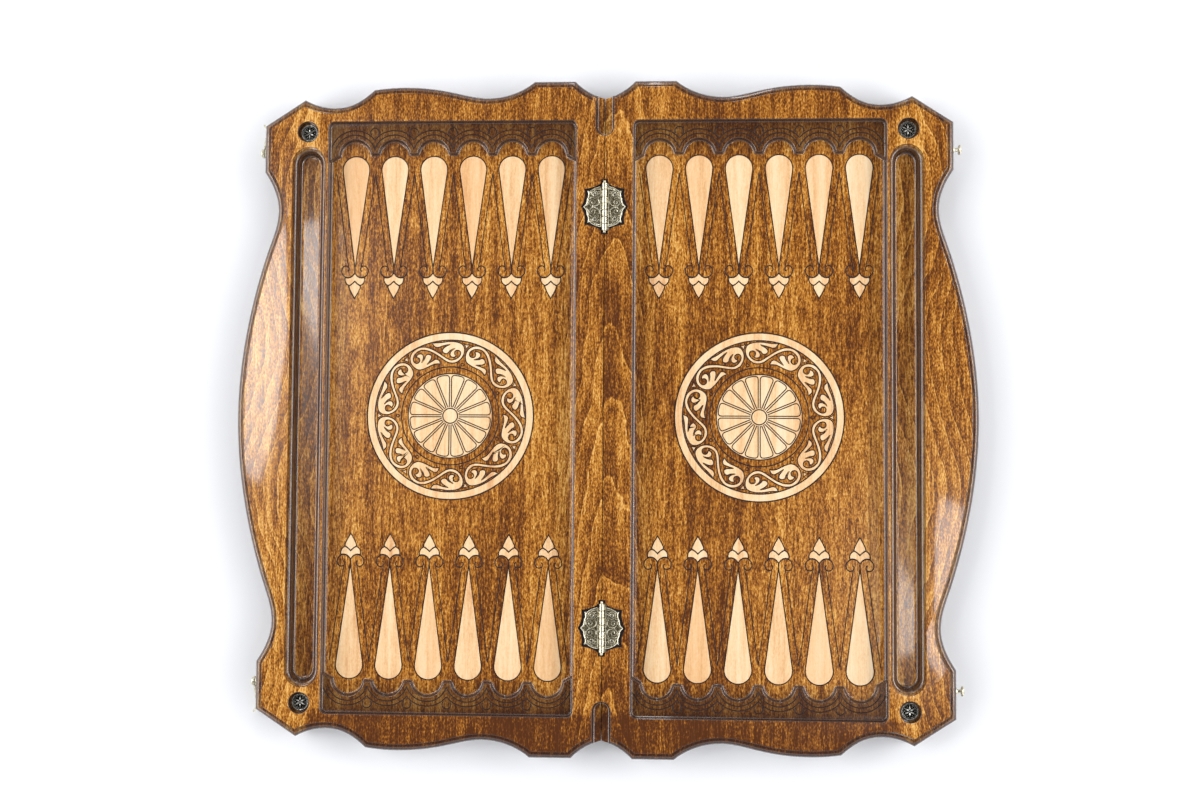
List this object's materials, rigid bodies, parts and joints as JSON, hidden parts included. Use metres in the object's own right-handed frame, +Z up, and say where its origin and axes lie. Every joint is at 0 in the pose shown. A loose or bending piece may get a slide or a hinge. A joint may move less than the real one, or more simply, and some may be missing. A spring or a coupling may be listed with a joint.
{
  "type": "backgammon set",
  "caption": "Folding wooden backgammon board with shaped edge, sunk inlaid fields, storage troughs, box hinges and hook latches, open flat.",
  "frame": {"origin": "underside of the open board, at the middle of the seam between the halves", "axes": "+Z up out of the playing fields, +Y along the seam, +X towards the half with the studs"},
  "size_m": [0.6108, 0.558, 0.0303],
  "materials": {
    "stained_beech": "gloss",
    "light_beech": "gloss",
    "old_brass": "antique",
    "old_silver": "antique"
  },
  "bodies": {
    "right_half": {"board_right": "stained_beech", "rosette_inlay_right": "light_beech", "medallion_right_upper": "old_silver", "point_inlay_right_upper_1": "light_beech", "point_inlay_right_upper_2": "light_beech", "point_inlay_right_upper_3": "light_beech", "point_inlay_right_upper_4": "light_beech", "point_inlay_right_upper_5": "light_beech", "point_inlay_right_upper_6": "light_beech", "medallion_right_lower": "old_silver", "point_inlay_right_lower_1": "light_beech", "point_inlay_right_lower_2": "light_beech", "point_inlay_right_lower_3": "light_beech", "point_inlay_right_lower_4": "light_beech", "point_inlay_right_lower_5": "light_beech", "point_inlay_right_lower_6": "light_beech", "upper_hinge_pin": "old_brass", "upper_hinge_right_leaf": "old_brass", "upper_hinge_right_screw_1": "old_brass", "upper_hinge_right_screw_2": "old_brass", "upper_stud": "old_brass", "lower_hinge_pin": "old_brass", "lower_hinge_right_leaf": "old_brass", "lower_hinge_right_screw_1": "old_brass", "lower_hinge_right_screw_2": "old_brass", "lower_stud": "old_brass"},
    "left_half": {"board_left": "stained_beech", "rosette_inlay_left": "light_beech", "medallion_left_upper": "old_silver", "point_inlay_left_upper_1": "light_beech", "point_inlay_left_upper_2": "light_beech", "point_inlay_left_upper_3": "light_beech", "point_inlay_left_upper_4": "light_beech", "point_inlay_left_upper_5": "light_beech", "point_inlay_left_upper_6": "light_beech", "medallion_left_lower": "old_silver", "point_inlay_left_lower_1": "light_beech", "point_inlay_left_lower_2": "light_beech", "point_inlay_left_lower_3": "light_beech", "point_inlay_left_lower_4": "light_beech", "point_inlay_left_lower_5": "light_beech", "point_inlay_left_lower_6": "light_beech", "upper_hinge_left_leaf": "old_brass", "upper_hinge_left_screw_1": "old_brass", "upper_hinge_left_screw_2": "old_brass", "upper_hook_pivot": "old_brass", "upper_hook_washer": "old_brass", "lower_hinge_left_leaf": "old_brass", "lower_hinge_left_screw_1": "old_brass", "lower_hinge_left_screw_2": "old_brass", "lower_hook_pivot": "old_brass", "lower_hook_washer": "old_brass"},
    "upper_hook": {"upper_hook": "old_brass"},
    "lower_hook": {"lower_hook": "old_brass"}
  },
  "joints": [
    {"name": "board_fold", "type": "hinge", "parent": "right_half", "child": "left_half", "pos_m": [0, 0, 0.02825], "axis": [0, 1, 0], "range_deg": [0, 180]},
    {"name": "upper_hook_swing", "type": "hinge", "parent": "left_half", "child": "upper_hook", "pos_m": [-0.286, 0.221, 0.0175], "axis": [1, 0, 0], "range_deg": [0, 118]},
    {"name": "lower_hook_swing", "type": "hinge", "parent": "left_half", "child": "lower_hook", "pos_m": [-0.286, -0.221, 0.0175], "axis": [-1, 0, 0], "range_deg": [0, 118]}
  ]
}
